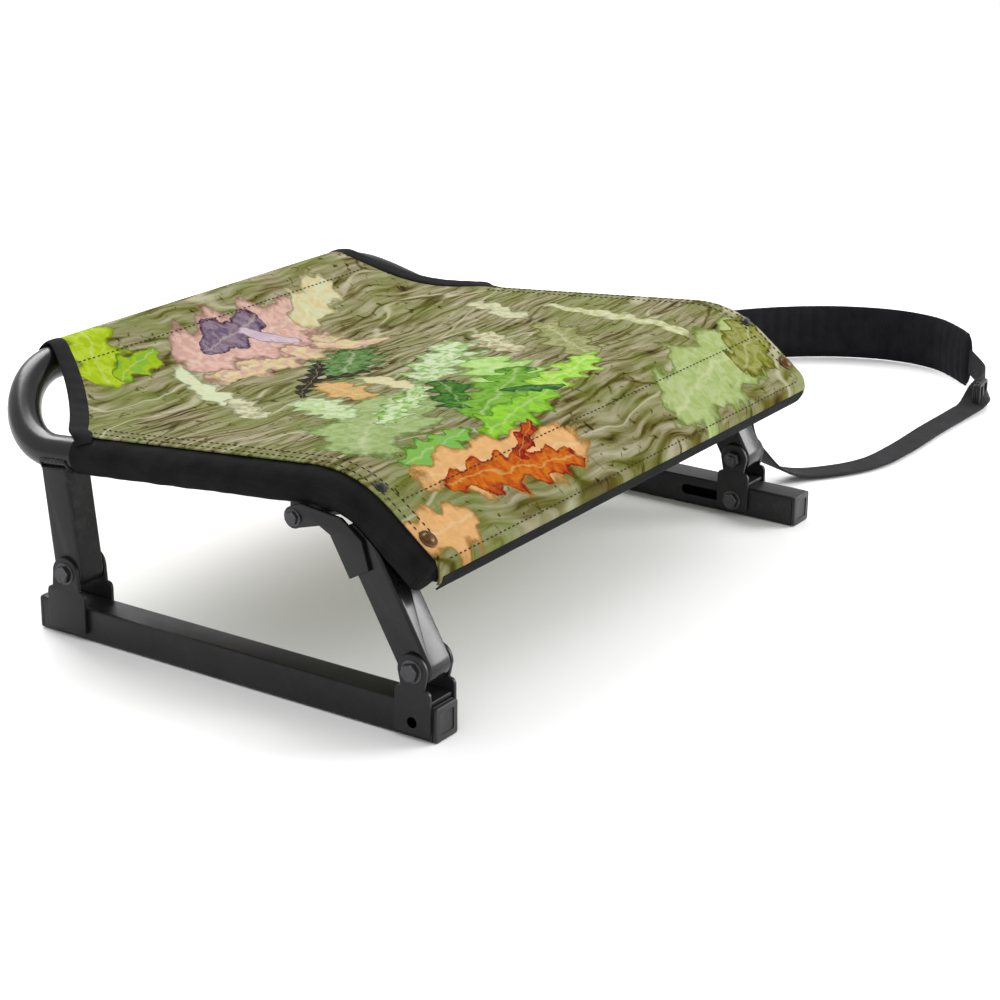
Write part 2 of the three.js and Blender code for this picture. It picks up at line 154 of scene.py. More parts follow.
def side_path(step=3.0):
    """The left half of the bent tube's middle line, from its front end to the rear bar."""
    rear, kink, front = (np.array([HALF_SPAN, *q]) for q in (SIDE_REAR, KINK, SIDE_FRONT))
    start = kink + unit(rear - kink) * KINK_REACH
    end = kink + unit(front - kink) * KINK_REACH
    bar = np.array([REAR_BAR_HALF, *REAR_BAR])
    corner = [rear, rear - unit(kink - rear) * 44, bar + np.array([46, 0, 0]), bar]
    parts = [
        np.linspace(front, end, 12),
        bezier([end, kink, start], 24)[1:],
        np.linspace(start, rear, 60)[1:],
        bezier(corner, 60)[1:],
    ]
    return resample(np.vstack(parts), step)


def mirrored(path, sign):
    return path * np.array([sign, 1, 1])


# ---- materials
def times(color, factor):
    return tuple(factor * c for c in color)


def rgba(color):
    """A colour as a node takes it. One number stands for a grey."""
    return (*(color if isinstance(color, tuple) else (color,) * 3), 1)


def feed(tree, socket, value):
    """Links the socket to another one, or sets its value."""
    if isinstance(value, bpy.types.NodeSocket):
        tree.links.new(value, socket)
    elif socket.type == "RGBA":
        socket.default_value = rgba(value)
    else:
        socket.default_value = value


def add(tree, kind, settings=None, **inputs):
    """A node with its settings and inputs. An input's name has _ for each space."""
    node = tree.nodes.new("ShaderNode" + kind)
    for key, value in (settings or {}).items():
        setattr(node, key, value)
    for key, value in inputs.items():
        feed(tree, node.inputs[key.replace("_", " ")], value)
    return node


def node_material(name, rough, metallic=0.0, specular=0.3):
    mat = bpy.data.materials.new(name)
    mat.use_nodes = True
    shader = mat.node_tree.nodes["Principled BSDF"]
    shader.inputs["Roughness"].default_value = rough
    shader.inputs["Metallic"].default_value = metallic
    shader.inputs["Specular IOR Level"].default_value = specular
    return mat, mat.node_tree, shader


def object_coords(tree, scale=1000.0):
    """Coordinates in the row frame, in millimetres."""
    coords = add(tree, "TexCoord").outputs["Object"]
    return add(tree, "Mapping", Vector=coords, Scale=(scale,) * 3).outputs["Vector"]


def noise_node(tree, vector, scale, detail=3.0, distortion=0.0, output="Fac"):
    node = add(tree, "TexNoise", Vector=vector, Scale=scale, Detail=detail, Distortion=distortion)
    return node.outputs[output]


def ramp(tree, value, *stops):
    """A ramp between stops, each of them a place and a colour."""
    node = add(tree, "ValToRGB", Fac=value)
    ends = node.color_ramp.elements
    while len(ends) < len(stops):
        ends.new(0.5)
    for end, (at, color) in zip(ends, stops):
        end.position = at
        end.color = rgba(color)
    return node.outputs["Color"]


def math_node(tree, kind, *values, node_type="Math"):
    node = add(tree, node_type, {"operation": kind})
    for socket, value in zip(node.inputs, values):
        feed(tree, socket, value)
    return node.outputs[0]


def vector_math(tree, kind, *values):
    return math_node(tree, kind, *values, node_type="VectorMath")


def mix_color(tree, fac, a, b, kind="MIX"):
    node = add(tree, "Mix", {"data_type": "RGBA", "blend_type": kind})
    sockets = {s.identifier: s for s in node.inputs}
    for key, value in (("Factor_Float", fac), ("A_Color", a), ("B_Color", b)):
        feed(tree, sockets[key], value)
    return next(s for s in node.outputs if s.identifier == "Result_Color")


def surface(tree, shader, color, height, strength, distance):
    """A material's colour and its fine relief."""
    feed(tree, shader.inputs["Base Color"], color)
    relief = add(tree, "Bump", Strength=strength, Distance=distance, Height=height)
    feed(tree, shader.inputs["Normal"], relief.outputs["Normal"])


def powder_coat(name, base, edge, rough, specular):
    """Black paint: fine orange peel, slight dust in the tone and rubbed, paler edges."""
    mat, tree, shader = node_material(name, rough, specular=specular)
    p = object_coords(tree)
    dust = noise_node(tree, p, 0.035, 5.0, 0.4)
    color = ramp(tree, dust, (0.35, base), (0.75, times(base, 1.5)))
    worn = ramp(tree, add(tree, "NewGeometry").outputs["Pointiness"], (0.52, 0), (0.6, 1))
    scuffs = ramp(tree, noise_node(tree, p, 0.16, 6.0, 0.8), (0.5, 0), (0.72, 0.8))
    rubbed = mix_color(tree, mix_color(tree, 1.0, worn, scuffs, "MULTIPLY"), color, edge)
    patches = noise_node(tree, p, 0.06, 4.0)
    spread = add(tree, "MapRange", Value=patches, To_Min=rough - 0.07, To_Max=rough + 0.1)
    feed(tree, shader.inputs["Roughness"], spread.outputs["Result"])
    surface(tree, shader, rubbed, noise_node(tree, p, 0.35, 2.0), 0.12, 0.0004)
    return mat


def bright_steel(name, base, rough):
    mat, tree, shader = node_material(name, rough, 0.85)
    p = object_coords(tree)
    color = ramp(tree, noise_node(tree, p, 0.3, 5.0), (0.3, times(base, 0.7)), (0.7, base))
    surface(tree, shader, color, noise_node(tree, p, 1.2, 3.0), 0.15, 0.0002)
    return mat


def moulded(name, base, rough):
    mat, tree, shader = node_material(name, rough)
    p = object_coords(tree)
    color = ramp(tree, noise_node(tree, p, 0.08, 4.0), (0.3, base), (0.8, times(base, 1.6)))
    surface(tree, shader, color, noise_node(tree, p, 1.5, 2.0), 0.3, 0.0002)
    return mat


def weave_height(tree, vector, pitch):
    """Over-and-under threads, the pitch apart in millimetres: two crossed waves."""
    waves = [
        add(
            tree, "TexWave", {"wave_type": "BANDS", "bands_direction": axis},
            Vector=vector, Scale=0.314 / pitch, Distortion=0.6, Detail_Scale=0.4,
        ).outputs["Fac"]
        for axis in "XY"
    ]
    return math_node(tree, "MAXIMUM", *waves)


def cloth(name, base, pitch):
    mat, tree, shader = node_material(name, 0.85, specular=0.08)
    p = object_coords(tree)
    tone = noise_node(tree, p, 0.05, 5.0, 0.5)
    color = ramp(tree, tone, (0.3, times(base, 0.7)), (0.75, times(base, 1.5)))
    height = weave_height(tree, p, pitch)
    hollows = ramp(tree, height, (0.2, 0.35), (0.9, 1.0))
    shaded = mix_color(tree, 0.35, color, hollows, "MULTIPLY")
    surface(tree, shader, shaded, height, 0.35, 0.0005)
    return mat


def ribbed(name, base):
    """Woven strap: fine ribs across its width, read from each point's place along the strap."""
    mat, tree, shader = node_material(name, 0.7, specular=0.12)
    along = add(tree, "Attribute", {"attribute_name": "along"}).outputs["Vector"]
    place_on = add(tree, "SeparateXYZ", Vector=along).outputs
    ribs, threads = (
        math_node(tree, "SINE", math_node(tree, "MULTIPLY", place_on[axis], rate))
        for axis, rate in (("X", 4.2), ("Y", 5.0))
    )
    height = math_node(tree, "MULTIPLY_ADD", threads, 0.3, ribs)
    tone = noise_node(tree, object_coords(tree), 0.09, 4.0)
    color = ramp(tree, tone, (0.3, base), (0.75, times(base, 1.9)))
    level = math_node(tree, "MULTIPLY_ADD", height, 0.35, 0.5)
    shaded = mix_color(tree, 0.5, color, ramp(tree, level, (0.0, 0.3), (1.0, 1.0)), "MULTIPLY")
    surface(tree, shader, shaded, height, 0.4, 0.0003)
    return mat


# The printed leaves: middle x and y, turn in degrees, half length, half width, lobes, their
# depth, and two tones.
LIME, MINT, PALE = (0.3, 0.37, 0.1), (0.44, 0.49, 0.37), (0.45, 0.45, 0.34)
PINK, PLUM, CREAM = (0.42, 0.31, 0.28), (0.16, 0.14, 0.17), (0.46, 0.41, 0.28)
GREEN, DEEP, BRIGHT = (0.22, 0.33, 0.14), (0.08, 0.14, 0.065), (0.27, 0.43, 0.15)
TAN, RUST, PEACH = (0.5, 0.35, 0.23), (0.36, 0.16, 0.085), (0.55, 0.38, 0.25)
TWIG, OLIVE, MOSS = (0.045, 0.04, 0.028), (0.2, 0.21, 0.11), (0.25, 0.3, 0.17)
LEAVES = [
    (-150, -80, 35, 96, 56, 3, 0.3, MOSS, (0.31, 0.36, 0.23)),
    (160, -180, 15, 100, 38, 4, 0.3, (0.29, 0.34, 0.19), (0.34, 0.38, 0.24)),
    (120, -70, 55, 70, 26, 4, 0.35, (0.22, 0.23, 0.14), (0.3, 0.3, 0.2)),
    (-20, 116, 5, 86, 30, 5, 0.3, CREAM, PINK),
    (-160, 184, 70, 46, 34, 4, 0.35, LIME, (0.36, 0.43, 0.16)),
    (-138, 158, 20, 30, 16, 3, 0.35, GREEN, LIME),
    (-15, 150, 8, 92, 42, 4, 0.3, PINK, (0.5, 0.38, 0.34)),
    (-26, 158, 14, 46, 20, 2, 0.25, PLUM, (0.24, 0.2, 0.23)),
    (4, 144, -35, 28, 9, 2, 0.2, (0.4, 0.34, 0.39), (0.45, 0.39, 0.41)),
    (88, 162, 30, 46, 24, 3, 0.3, CREAM, PALE),
    (54, 96, -30, 36, 15, 3, 0.3, PINK, CREAM),
    (-126, 92, 72, 60, 17, 5, 0.35, MINT, PALE),
    (-150, 40, 60, 40, 16, 4, 0.3, (0.3, 0.29, 0.22), PALE),
    (-2, 58, 40, 54, 36, 5, 0.4, (0.12, 0.17, 0.1), (0.18, 0.23, 0.15)),
    (-55, 54, 32, 64, 10, 7, 0.5, TWIG, (0.1, 0.09, 0.06)),
    (-30, 34, -20, 36, 9, 5, 0.5, TWIG, (0.12, 0.1, 0.07)),
    (-76, 6, 75, 38, 22, 3, 0.3, TAN, (0.38, 0.31, 0.19)),
    (-128, -18, 70, 44, 26, 5, 0.35, MINT, (0.33, 0.4, 0.24)),
    (-44, -20, 80, 46, 14, 3, 0.3, PALE, CREAM),
    (26, -12, 30, 74, 34, 5, 0.4, (0.25, 0.33, 0.18), MINT),
    (-98, -66, 25, 64, 18, 5, 0.4, MINT, GREEN),
    (-60, -84, 50, 52, 22, 4, 0.4, DEEP, (0.13, 0.19, 0.1)),
    (10, -84, 62, 68, 42, 5, 0.42, (0.3, 0.42, 0.2), (0.38, 0.48, 0.27)),
    (-38, -112, 28, 78, 38, 6, 0.45, GREEN, (0.16, 0.26, 0.11)),
    (30, -126, 15, 60, 24, 5, 0.45, BRIGHT, (0.38, 0.48, 0.22)),
    (-66, -146, 12, 64, 22, 5, 0.45, BRIGHT, GREEN),
    (-172, -148, 10, 46, 17, 5, 0.4, (0.21, 0.34, 0.17), GREEN),
    (-18, -128, -30, 26, 9, 3, 0.3, DEEP, (0.13, 0.17, 0.13)),
    (-128, -176, -4, 96, 26, 5, 0.3, PEACH, TAN),
    (-130, -184, -6, 78, 16, 6, 0.4, RUST, (0.44, 0.22, 0.13)),
    (-92, -170, 30, 26, 9, 3, 0.4, (0.2, 0.09, 0.05), RUST),
    (-232, -198, 5, 36, 22, 3, 0.3, PEACH, TAN),
    (228, -176, 30, 36, 26, 3, 0.3, OLIVE, (0.27, 0.27, 0.16)),
    (196, -70, 78, 90, 12, 6, 0.4, PALE, (0.36, 0.37, 0.24)),
    (190, 44, 70, 46, 17, 4, 0.35, (0.36, 0.36, 0.27), PALE),
    (96, -20, 60, 44, 20, 4, 0.35, (0.3, 0.27, 0.2), PALE),
]


def leaf_group():
    """One printed leaf: lobes along a midrib, with side veins, laid over the colour under it."""
    group = bpy.data.node_groups.new("printed_leaf", "ShaderNodeTree")
    kinds = {
        "Vector": ("Place", "Middle", "Turn", "Reach"),
        "Color": ("Under", "Tone", "Shade"),
        "Float": ("Lobes", "Depth", "Ragged", "Patchy"),
    }
    for kind, names in kinds.items():
        for name in names:
            group.interface.new_socket(name, in_out="INPUT", socket_type=f"NodeSocket{kind}")
    for name, kind in (("Over", "Color"), ("Onward", "Vector")):
        group.interface.new_socket(name, in_out="OUTPUT", socket_type=f"NodeSocket{kind}")
    given = group.nodes.new("NodeGroupInput").outputs
    result = group.nodes.new("NodeGroupOutput").inputs
    place_on = add(
        group, "Mapping", {"vector_type": "TEXTURE"}, Vector=given["Place"],
        Location=given["Middle"], Rotation=given["Turn"], Scale=given["Reach"],
    ).outputs["Vector"]
    split = add(group, "SeparateXYZ", Vector=place_on).outputs
    work = lambda *args: math_node(group, *args)
    x, y = split["X"], split["Y"]
    xx = work("MULTIPLY", x, x)

    # The outline: lobes that swing along the leaf, inside an ellipse.
    bend = work("MULTIPLY", work("SINE", work("MULTIPLY", x, 2.4)), 0.14)
    off = work("ABSOLUTE", work("ADD", y, bend))
    taper = work("SQRT", work("MAXIMUM", work("MULTIPLY_ADD", xx, -1.0, 1.0), 1e-4))
    rate = work("MULTIPLY", given["Lobes"], 3.1416)
    swing = work("MULTIPLY_ADD", x, rate, work("MULTIPLY", off, -3.0))
    lobe = work("MULTIPLY_ADD", work("COSINE", swing), 0.5, 0.5)
    notch = work("MULTIPLY_ADD", work("MULTIPLY", lobe, given["Depth"]), -1.3, 1.0)
    width = work("MAXIMUM", work("MULTIPLY", taper, notch), 0.02)
    ragged = work("ADD", work("MAXIMUM", work("DIVIDE", off, width), xx), given["Ragged"])
    mask = ramp(group, ragged, (0.0, 1), (0.88, 1), (0.98, 0))

    # The veins, the two tones and the darker rim.
    midrib = ramp(group, off, (0.0, 1), (0.07, 0))
    slant = work("MULTIPLY_ADD", x, 11.0, work("MULTIPLY", off, -9.0))
    veins = ramp(group, work("ABSOLUTE", work("SINE", slant)), (0.0, 0.4), (0.2, 0))
    lines = mix_color(group, 1.0, midrib, veins, "LIGHTEN")
    spread = ramp(group, given["Patchy"], (0.42, 0), (0.58, 1))
    tone = mix_color(group, spread, given["Tone"], given["Shade"])
    lit = mix_color(group, lines, tone, mix_color(group, 0.28, tone, (0.55, 0.54, 0.42)))
    done = mix_color(group, 1.0, lit, ramp(group, ragged, (0.66, 1), (0.9, 0.5)), "MULTIPLY")
    over = mix_color(group, mask, given["Under"], done)
    feed(group, result["Over"], over)
    # The next leaf's place leans on this one's colour by a ten-thousandth of a millimetre, so
    # that Cycles works the leaves out one after another and keeps few values at once.
    onward = vector_math(group, "MULTIPLY_ADD", over, (1e-4, 1e-4, 0), given["Place"])
    feed(group, result["Onward"], onward)
    return group


def camouflage():
    mat, tree, shader = node_material("camouflage_cloth", 0.82, specular=0.08)
    p = object_coords(tree)
    plan = add(tree, "Mapping", Vector=p, Scale=(1, 1, 0)).outputs["Vector"]

    # Bark: long streaks that swirl, in greys, browns and olive.
    swirl = noise_node(tree, plan, 0.008, output="Color")
    push = vector_math(tree, "MULTIPLY_ADD", swirl, (46, 46, 0), plan)
    turned = (0, 0, math.radians(38))
    grain = add(tree, "Mapping", Vector=push, Rotation=turned, Scale=(0.02, 0.2, 1))
    streak = noise_node(tree, grain.outputs["Vector"], 1.0, 7.0, 0.3)
    bark = ramp(
        tree, streak, (0.26, (0.06, 0.056, 0.038)), (0.38, (0.14, 0.131, 0.09)),
        (0.48, (0.215, 0.203, 0.147)), (0.56, (0.27, 0.256, 0.195)),
        (0.66, (0.33, 0.313, 0.25)), (0.78, (0.4, 0.385, 0.31)),
    )
    olive = ramp(tree, noise_node(tree, plan, 0.014, 4.0, 0.5), (0.44, 0), (0.62, 0.55))
    ground = mix_color(tree, olive, bark, (0.19, 0.215, 0.12))
    patchy = noise_node(tree, plan, 0.13, 5.0, 0.8)
    flecks = ramp(tree, patchy, (0.6, 0), (0.68, 0.7))
    ground = mix_color(tree, flecks, ground, (0.06, 0.055, 0.04))
    ragged = math_node(tree, "MULTIPLY_ADD", noise_node(tree, plan, 0.09, 4.0), 0.9, -0.45)

    # Stems: thin pale and dark lines that wander.
    stems = ((62, 0.13, (0.42, 0.41, 0.32)), (-28, 0.61, (0.07, 0.06, 0.04)))
    for turn, offset, color in stems:
        lay = add(
            tree, "Mapping", Vector=push, Location=(offset * 7, offset * 5, 0),
            Rotation=(0, 0, math.radians(turn)), Scale=(0.003, 0.012, 1),
        )
        band = noise_node(tree, lay.outputs["Vector"], 1.0, 2.0)
        gap = math_node(tree, "ABSOLUTE", math_node(tree, "SUBTRACT", band, 0.5))
        thin = ramp(tree, gap, (0.0, 0.6), (0.005, 0.5), (0.009, 0))
        ground = mix_color(tree, thin, ground, color)

    # Leaves, each a little out of true.
    warp = noise_node(tree, plan, 0.05, output="Color")
    back = vector_math(tree, "SUBTRACT", plan, (8, 8, 0))
    place_on = vector_math(tree, "MULTIPLY_ADD", warp, (16, 16, 0), back)
    group = leaf_group()
    over = ground
    for x, y, turn, along, across, lobes, depth, tone, shade in LEAVES:
        leaf = add(
            tree, "Group", {"node_tree": group}, Place=place_on, Under=over, Middle=(x, y, 0),
            Turn=(0, 0, math.radians(turn)), Reach=(along, across, 1), Lobes=lobes,
            Depth=depth, Tone=tone, Shade=shade, Ragged=ragged, Patchy=patchy,
        )
        over, place_on = leaf.outputs["Over"], leaf.outputs["Onward"]

    inked = add(tree, "HueSaturation", Saturation=1.22, Color=over).outputs["Color"]
    crisp = add(tree, "BrightContrast", Bright=-0.035, Contrast=0.1, Color=inked)
    height = weave_height(tree, p, 0.9)
    # Painted shade: the weave's relief also darkens the print's colour, most in the threads'
    # hollows, on top of the bump.
    threads = ramp(tree, height, (0.1, 0.26), (0.9, 0.6))
    weave_shaded = mix_color(tree, 0.25, crisp.outputs["Color"], threads, "MULTIPLY")
    surface(tree, shader, weave_shaded, height, 0.25, 0.0004)
    return mat


GLOSS = powder_coat("gloss_black_paint", (0.004, 0.004, 0.0045), 0.02, 0.24, 0.3)
SATIN = powder_coat("satin_black_paint", (0.009, 0.009, 0.0095), 0.03, 0.36, 0.24)
ZINC = bright_steel("dark_plated_steel", (0.075, 0.075, 0.08), 0.34)
SNAP = bright_steel("browned_snap", (0.09, 0.045, 0.016), 0.4)
CAP = moulded("black_plastic", (0.016, 0.016, 0.017), 0.5)
BUCKLE = moulded("buckle_plastic", (0.005, 0.005, 0.005), 0.45)
CAMO = camouflage()
BLACK_CLOTH = cloth("black_cloth", (0.008, 0.008, 0.0085), 0.9)
PAD_CLOTH = cloth("pad_cloth", (0.008, 0.008, 0.01), 1.3)
WEBBING = ribbed("black_webbing", (0.012, 0.012, 0.013))
THREAD = cloth("black_thread", (0.03, 0.03, 0.03), 0.5)


# ---- mesh building
def smooth(obj, sharp=32):
    obj.data.shade_smooth()
    obj.data.set_sharp_from_angle(angle=math.radians(sharp))


def show(obj):
    bpy.context.scene.collection.objects.link(obj)
    return obj


def to_object(name, verts, faces, mat, sharp=40, scale=MM):
    """An object of verts and faces, its edges sharp above an angle. sharp=None leaves it flat."""
    mesh = bpy.data.meshes.new(name)
    points = [tuple(float(c) * scale for c in v) for v in verts]
    mesh.from_pydata(points, [], [tuple(f) for f in faces])
    work = bmesh.new()
    work.from_mesh(mesh)
    bmesh.ops.remove_doubles(work, verts=work.verts, dist=1e-6)
    bmesh.ops.recalc_face_normals(work, faces=work.faces)
    work.to_mesh(mesh)
    work.free()
    mesh.materials.append(mat)
    obj = show(bpy.data.objects.new(name, mesh))
    if sharp is not None:
        smooth(obj, sharp)
    return obj


def loft(rings, closed=True, caps=True):
    """Faces between rings that all have the same number of points."""
    count, around = len(rings), len(rings[0])
    verts = [v for r in rings for v in r]
    faces = []
    for a in range(0, (count - 1) * around, around):
        for j in range(around if closed else around - 1):
            k = (j + 1) % around
            faces.append((a + j, a + k, a + around + k, a + around + j))
    if caps:
        faces.append(tuple(range(around))[::-1])
        faces.append(tuple(range((count - 1) * around, count * around)))
    return verts, faces


def frames(path, first):
    """Axes across the path that don't twist: side vectors and their partners."""
    side = np.array(first, float)
    out = []
    for t in tangents(path):
        side = unit(side - t * (side @ t))
        out.append((side.copy(), np.cross(t, side)))
    return out


def tube_rings(path, radius, sides, first):
    """Rings round the path. radius is a number, or a function of the ring's index and the angle."""
    angles = np.radians(np.linspace(0, 360, sides, endpoint=False))
    radii = radius if callable(radius) else (lambda i, w: radius)
    return [
        [p + radii(i, w) * (a * math.cos(w) + b * math.sin(w)) for w in angles]
        for i, (p, (a, b)) in enumerate(zip(path, frames(path, first)))
    ]


def tube(name, path, radius, mat, sides, first=(1, 0, 0)):
    return to_object(name, *loft(tube_rings(path, radius, sides, first)), mat, sharp=50)


def strap_object(name, path, across, thick):
    """Flat webbing. across gives the direction of its width at each point of the path. Each
    vertex holds its place along and across the strap, which the ribs are drawn from."""
    w, h, e = WEBBING_WIDTH / 2, thick / 2, thick * 0.45
    shape = [
        (-w, -h + e), (-w, h - e), (-w + e, h), (-w / 3, h), (w / 3, h), (w - e, h),
        (w, h - e), (w, -h + e), (w - e, -h), (w / 3, -h), (-w / 3, -h), (-w + e, -h),
    ]
    rings = []
    for p, t, a in zip(path, tangents(path), across):
        a = unit(a - t * (a @ t))
        b = np.cross(t, a)
        rings.append([p + a * u + b * v for u, v in shape])
    obj = to_object(name, *loft(rings), WEBBING, sharp=35)
    layer = obj.data.attributes.new("along", "FLOAT_VECTOR", "POINT")
    places = [(s, u, 0) for s in distances(path) for u, _ in shape]
    layer.data.foreach_set("vector", np.asarray(places, float).ravel())
    return obj


def pillow(sides, power_u, power_v):
    """An outline one unit each way, between an ellipse and a rectangle. Low powers square it."""
    bent = lambda v, power: math.copysign(abs(v) ** power, v)
    at = [2 * math.pi * k / sides for k in range(sides)]
    return [(bent(math.cos(w), power_u), bent(math.sin(w), power_v)) for w in at]


def rounded(points, radius, steps=5):
    """An outline with its corners eased. radius is one number, or one for each corner."""
    n = len(points)
    radii = [radius] * n if isinstance(radius, (int, float)) else radius
    out = []
    for i, (q, r) in enumerate(zip(points, radii)):
        p, a, b = (np.array(v, float) for v in (q, points[i - 1], points[(i + 1) % n]))
        ua, ub = unit(a - p), unit(b - p)
        half = math.acos(max(-1, min(1, ua @ ub))) / 2
        room = (0.49 * np.linalg.norm(v - p) for v in (a, b))
        reach = min(r / math.tan(half), *room)
        out.extend(bezier([p + ua * reach, p, p + ub * reach], steps))
    return np.array(out)


def box(low, high, radius, steps=5):
    """A rectangle between two corners, all four of them eased."""
    (x0, y0), (x1, y1) = low, high
    return rounded([(x0, y0), (x1, y0), (x1, y1), (x0, y1)], radius, steps)


def circle(middle, r, sides=28, start=0.0, end=360.0):
    full = abs(end - start) >= 360
    at = np.radians(np.linspace(start, end, sides, endpoint=not full))
    return np.stack([middle[0] + r * np.cos(at), middle[1] + r * np.sin(at)], 1)


TO_WORLD = {  # where an outline's first axis, second axis and thickness go
    "yz": Matrix(((0, 0, 1, 0), (1, 0, 0, 0), (0, 1, 0, 0), (0, 0, 0, 1))),
    "xz": Matrix(((1, 0, 0, 0), (0, 0, -1, 0), (0, 1, 0, 0), (0, 0, 0, 1))),
    "xy": Matrix.Identity(4),
}


def evaluated_mesh(obj):
    graph = bpy.context.evaluated_depsgraph_get()
    return bpy.data.meshes.new_from_object(obj.evaluated_get(graph))


def plate(name, loops, low, high, mat, bevel=0.5, plane="yz"):
    """A flat piece with eased edges, from an outline and its holes, between two distances."""
    curve = bpy.data.curves.new(name, "CURVE")
    curve.dimensions, curve.fill_mode = "2D", "BOTH"
    curve.bevel_depth, curve.bevel_resolution, curve.offset = bevel * MM, 2, -bevel * MM
    curve.extrude = ((high - low) / 2 - bevel) * MM
    for loop in loops:
        spline = curve.splines.new("POLY")
        spline.points.add(len(loop) - 1)
        for point, (a, b) in zip(spline.points, loop):
            point.co = (a * MM, b * MM, 0, 1)
        spline.use_cyclic_u = True
    holder = show(bpy.data.objects.new(name, curve))
    mesh = evaluated_mesh(holder)
    bpy.data.objects.remove(holder)
    bpy.data.curves.remove(curve)
    middle = (low + high) / 2 * MM
    mesh.transform(Matrix.Translation((0, 0, -middle if plane == "xz" else middle)))
    mesh.transform(TO_WORLD[plane])
    verts = [v.co.copy() for v in mesh.vertices]
    faces = [tuple(p.vertices) for p in mesh.polygons]
    bpy.data.meshes.remove(mesh)
    return to_object(name, verts, faces, mat, sharp=32, scale=1.0)


def apply_modifiers(obj, sharp=32):
    mesh, old = evaluated_mesh(obj), obj.data
    obj.modifiers.clear()
    obj.data = mesh
    bpy.data.meshes.remove(old)
    smooth(obj, sharp)


def subtract(obj, cutter):
    mod = obj.modifiers.new("cut", "BOOLEAN")
    mod.operation, mod.solver, mod.object = "DIFFERENCE", "EXACT", cutter
    apply_modifiers(obj)
    bpy.data.objects.remove(cutter)


def spin(name, profile, middle, axis, mat, sides=32, turn=0.0):
    """A turned piece about an axis: the profile is [radius, height] from the axis out and back."""
    axis = unit(np.array(axis, float))
    a = unit(np.cross(axis, (0, 0, 1) if abs(axis[2]) < 0.9 else (1, 0, 0)))
    b = np.cross(axis, a)
    at = [turn + 2 * math.pi * k / sides for k in range(sides)]
    rings = [
        [
            np.array(middle) + axis * h + max(r, 0.01) * (a * math.cos(w) + b * math.sin(w))
            for w in at
        ]
        for r, h in profile
    ]
    return to_object(name, *loft(rings), mat, sharp=28)


def join(name, *objs):
    """Pieces of one body and finish as one object."""
    target = objs[0]
    work = bmesh.new()
    for o in objs:
        work.from_mesh(o.data)
    work.to_mesh(target.data)
    work.free()
    target.data.set_sharp_from_angle(angle=math.radians(32))
    for o in objs[1:]:
        bpy.data.objects.remove(o)
    target.name = name
    return target


def place(obj, body, slot, *replaced):
    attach(obj, body)
    if replaced:
        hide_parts(*replaced)
    return obj


# ---- camera
back = Vector((-0.7856, -0.5211, 0.3338)).normalized()
up = back.cross(Vector((0.5528, -0.8333, 0))).normalized()
right = up.cross(back).normalized()
camera_data = bpy.data.cameras.new("camera")
camera_data.lens, camera_data.sensor_width = 87.93, 36
camera_data.clip_start, camera_data.clip_end = 0.05, 60
camera = show(bpy.data.objects.new("camera", camera_data))
stand = Matrix((right, up, back)).transposed().to_4x4()
stand.translation = (-1.4856, -1.0721, 0.6996)
camera.matrix_world = stand @ Matrix.Rotation(math.radians(0.576), 4, "Z")
bpy.context.scene.camera = camera

# ---- shoulder strap
ALONG_Y, UPRIGHT = np.array([0, 1.0, 0]), np.array([0, 0, 1.0])
strap_points = STRAP_FRONT + STRAP_BUCKLE + STRAP_TURN + STRAP_PAD + STRAP_REAR
strap_line = resample(catmull(strap_points), 4.0)


def strap_across(line):
    """The direction of the strap's width: level on the ground, upright through the pad, and along
    Y at the two anchors."""
    out = []
    for (x, y, _), d in zip(line, tangents(line)):
        level = np.cross((0, 0, 1), d)
        level = level / max(np.linalg.norm(level), 1e-6)
        level = level * (1 if level[1] > 0 else -1)
        anchored = ease(1.0 - clamp((x - 290) / 60))
        standing = ease(clamp((x - 625) / 62 if y < 0 else (x - 560) / 55))
        a = unit(level * (1 - anchored) + ALONG_Y * anchored)
        turn = standing * math.pi / 2
        out.append(a * math.cos(turn) + UPRIGHT * math.sin(turn))
    return out


strap = strap_object("shoulder_strap", strap_line, strap_across(strap_line), 2.2)
place(strap, "seat", "webbing", *(f"strap_{n}_webbing" for n in ("front", "turn", "rear")))


def strap_loop(name, y, top, bottom):
    """The strap's end, turned through an anchor's slot and sewn back on itself."""
    outside, inside = 279.6, 271.4
    line = resample(catmull([
        (outside + 1.8, y, bottom), (outside + 1.0, y, top - 12), (outside - 0.3, y, top - 3),
        (inside + 2.6, y, top + 1.2), (inside, y, top - 2.6), (inside + 0.4, y, top - 9),
        (outside - 1.9, y, top - 16), (outside - 0.6, y, bottom + 2),
    ]), 2.0)
    return place(strap_object(name, line, [ALONG_Y] * len(line), 1.9), "seat", "webbing")


front_loop = strap_loop("strap_front_loop", -141.5, 133, 104)
rear_loop = strap_loop("strap_rear_loop", 120, 115, 88)

# ---- the pad
pad_line = resample(catmull(STRAP_PAD), 2.0)


def pad_rings():
    """Rings along the pad: quilted across, and closing in at both ends."""
    length = distances(pad_line)[-1]
    rings = []
    for i, (p, t) in enumerate(zip(pad_line, tangents(pad_line))):
        s = i / (len(pad_line) - 1) * length
        close = math.sqrt(max(0.0, 1 - (1 - min(1.0, min(s, length - s) / 16)) ** 2))
        rib = abs(math.sin(math.pi * s / 13.5)) ** 0.55
        half_w = 27.0 * (0.72 + 0.28 * close)
        half_t = (2.4 + 3.6 * close) * (0.74 + 0.26 * rib)
        side = unit(np.cross(t, (0, 0, 1)))
        ring = []
        for u, v in pillow(40, 0.62, 0.8):
            u, v = u * half_w, v * half_t
            crown = 1 - 0.35 * (abs(u) / half_w) ** 2.2
            ring.append(p + np.array([0, 0, u]) + side * v * crown)
        rings.append(ring)
    return rings


